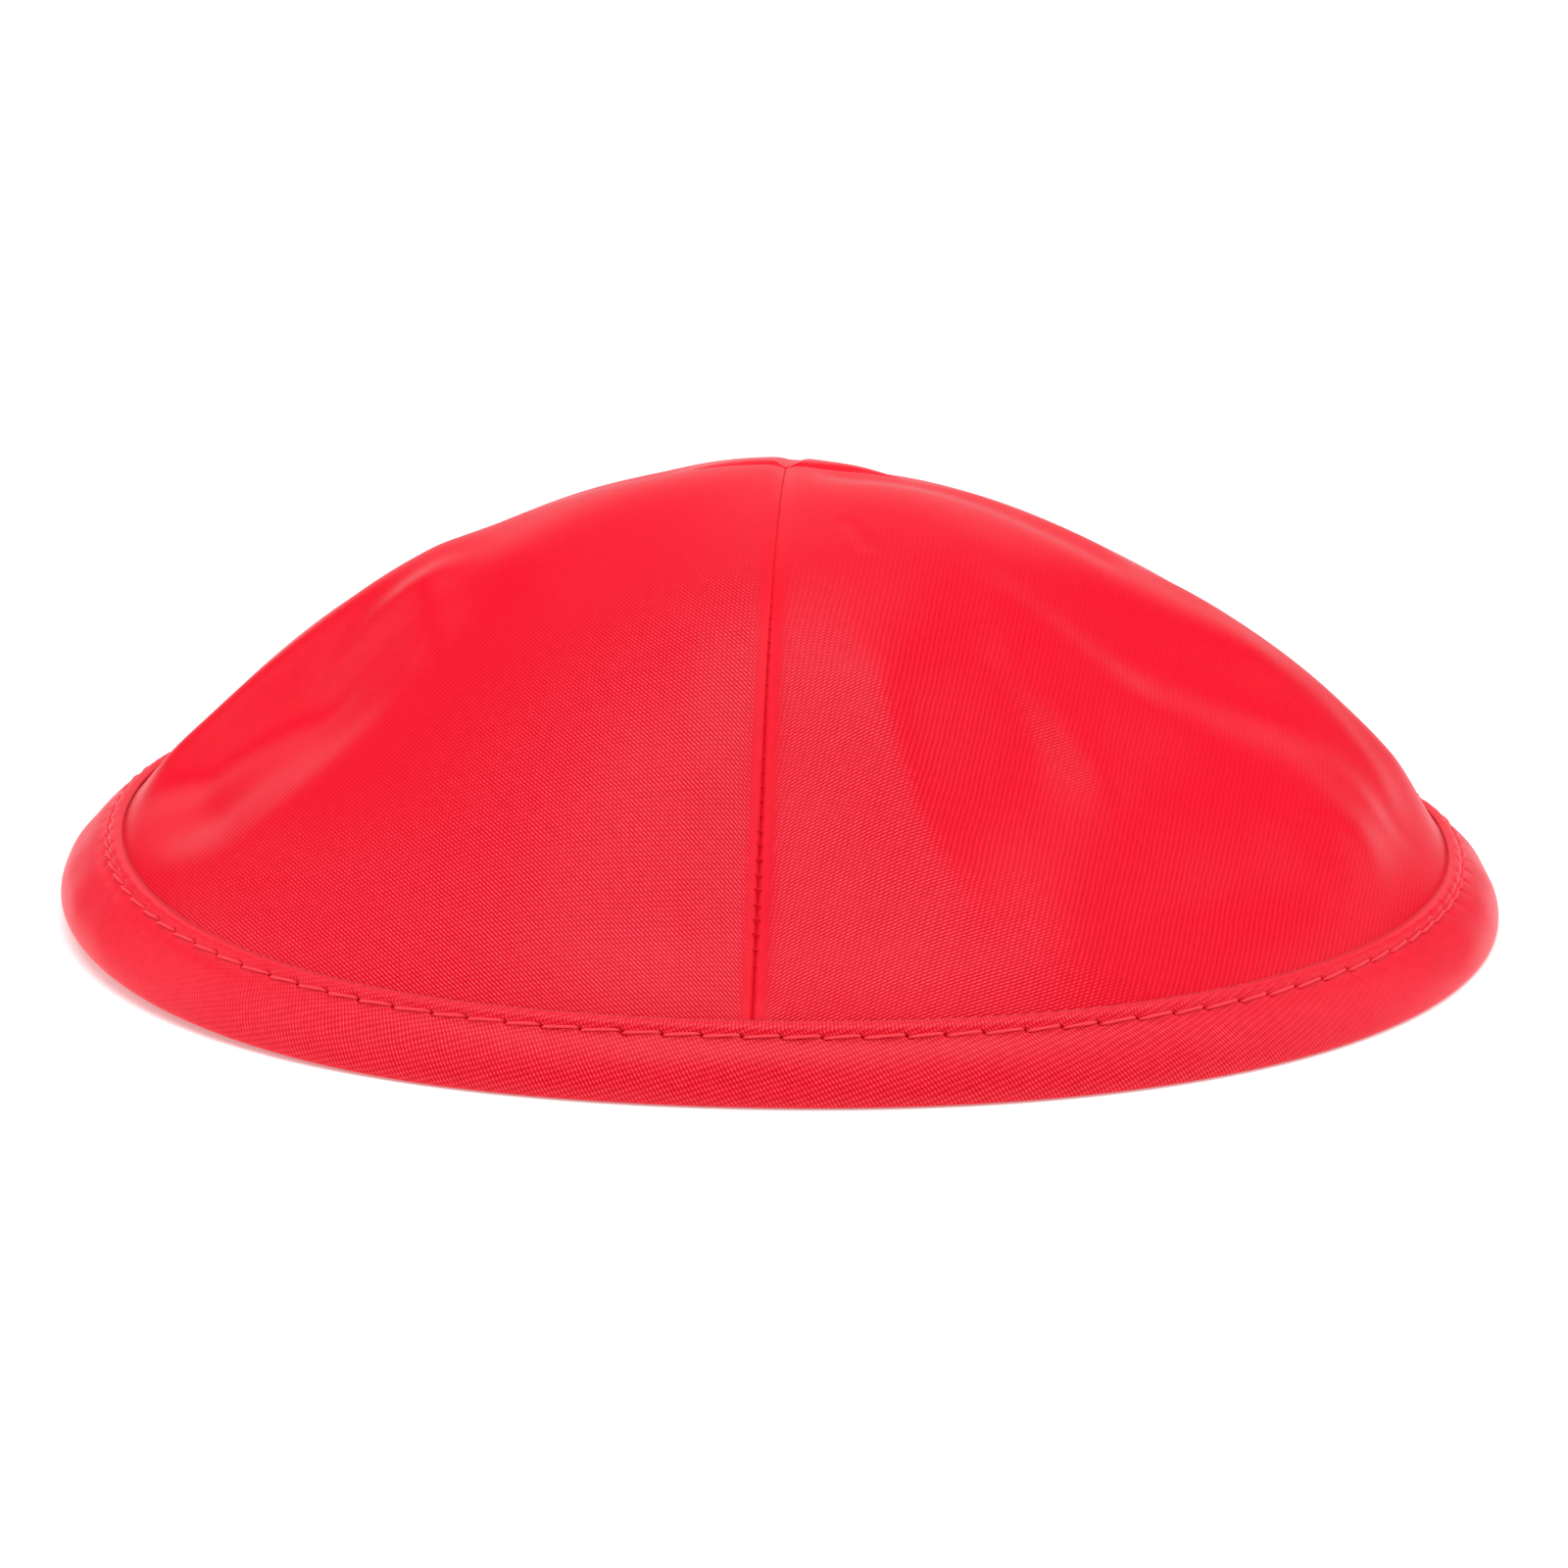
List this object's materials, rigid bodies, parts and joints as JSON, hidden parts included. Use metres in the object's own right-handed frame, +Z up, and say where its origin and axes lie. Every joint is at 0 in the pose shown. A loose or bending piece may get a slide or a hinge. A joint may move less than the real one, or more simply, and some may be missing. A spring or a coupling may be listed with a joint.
{
  "type": "kippah",
  "caption": "Low domed skullcap of sewn satin panels, with a folded and topstitched binding round its oval rim.",
  "frame": {"origin": "on the table, under the middle of the cap's outline", "axes": "+Z up through the crown, +X along the longer way of the oval rim, and -Y towards the front seam"},
  "size_m": [0.1682, 0.1572, 0.0528],
  "materials": {
    "satin": "bright red satin with a fine slanting weave, glossy along the threads and soft across them",
    "satin_binding": "the same red satin cut on the slant, folded over the rim and topstitched near its upper edge"
  },
  "bodies": {
    "root": {"crown_panel_front_left": "satin", "crown_panel_front_right": "satin", "crown_panel_back_left": "satin", "crown_panel_back_right": "satin", "rim_binding": "satin_binding"}
  },
  "joints": []
}
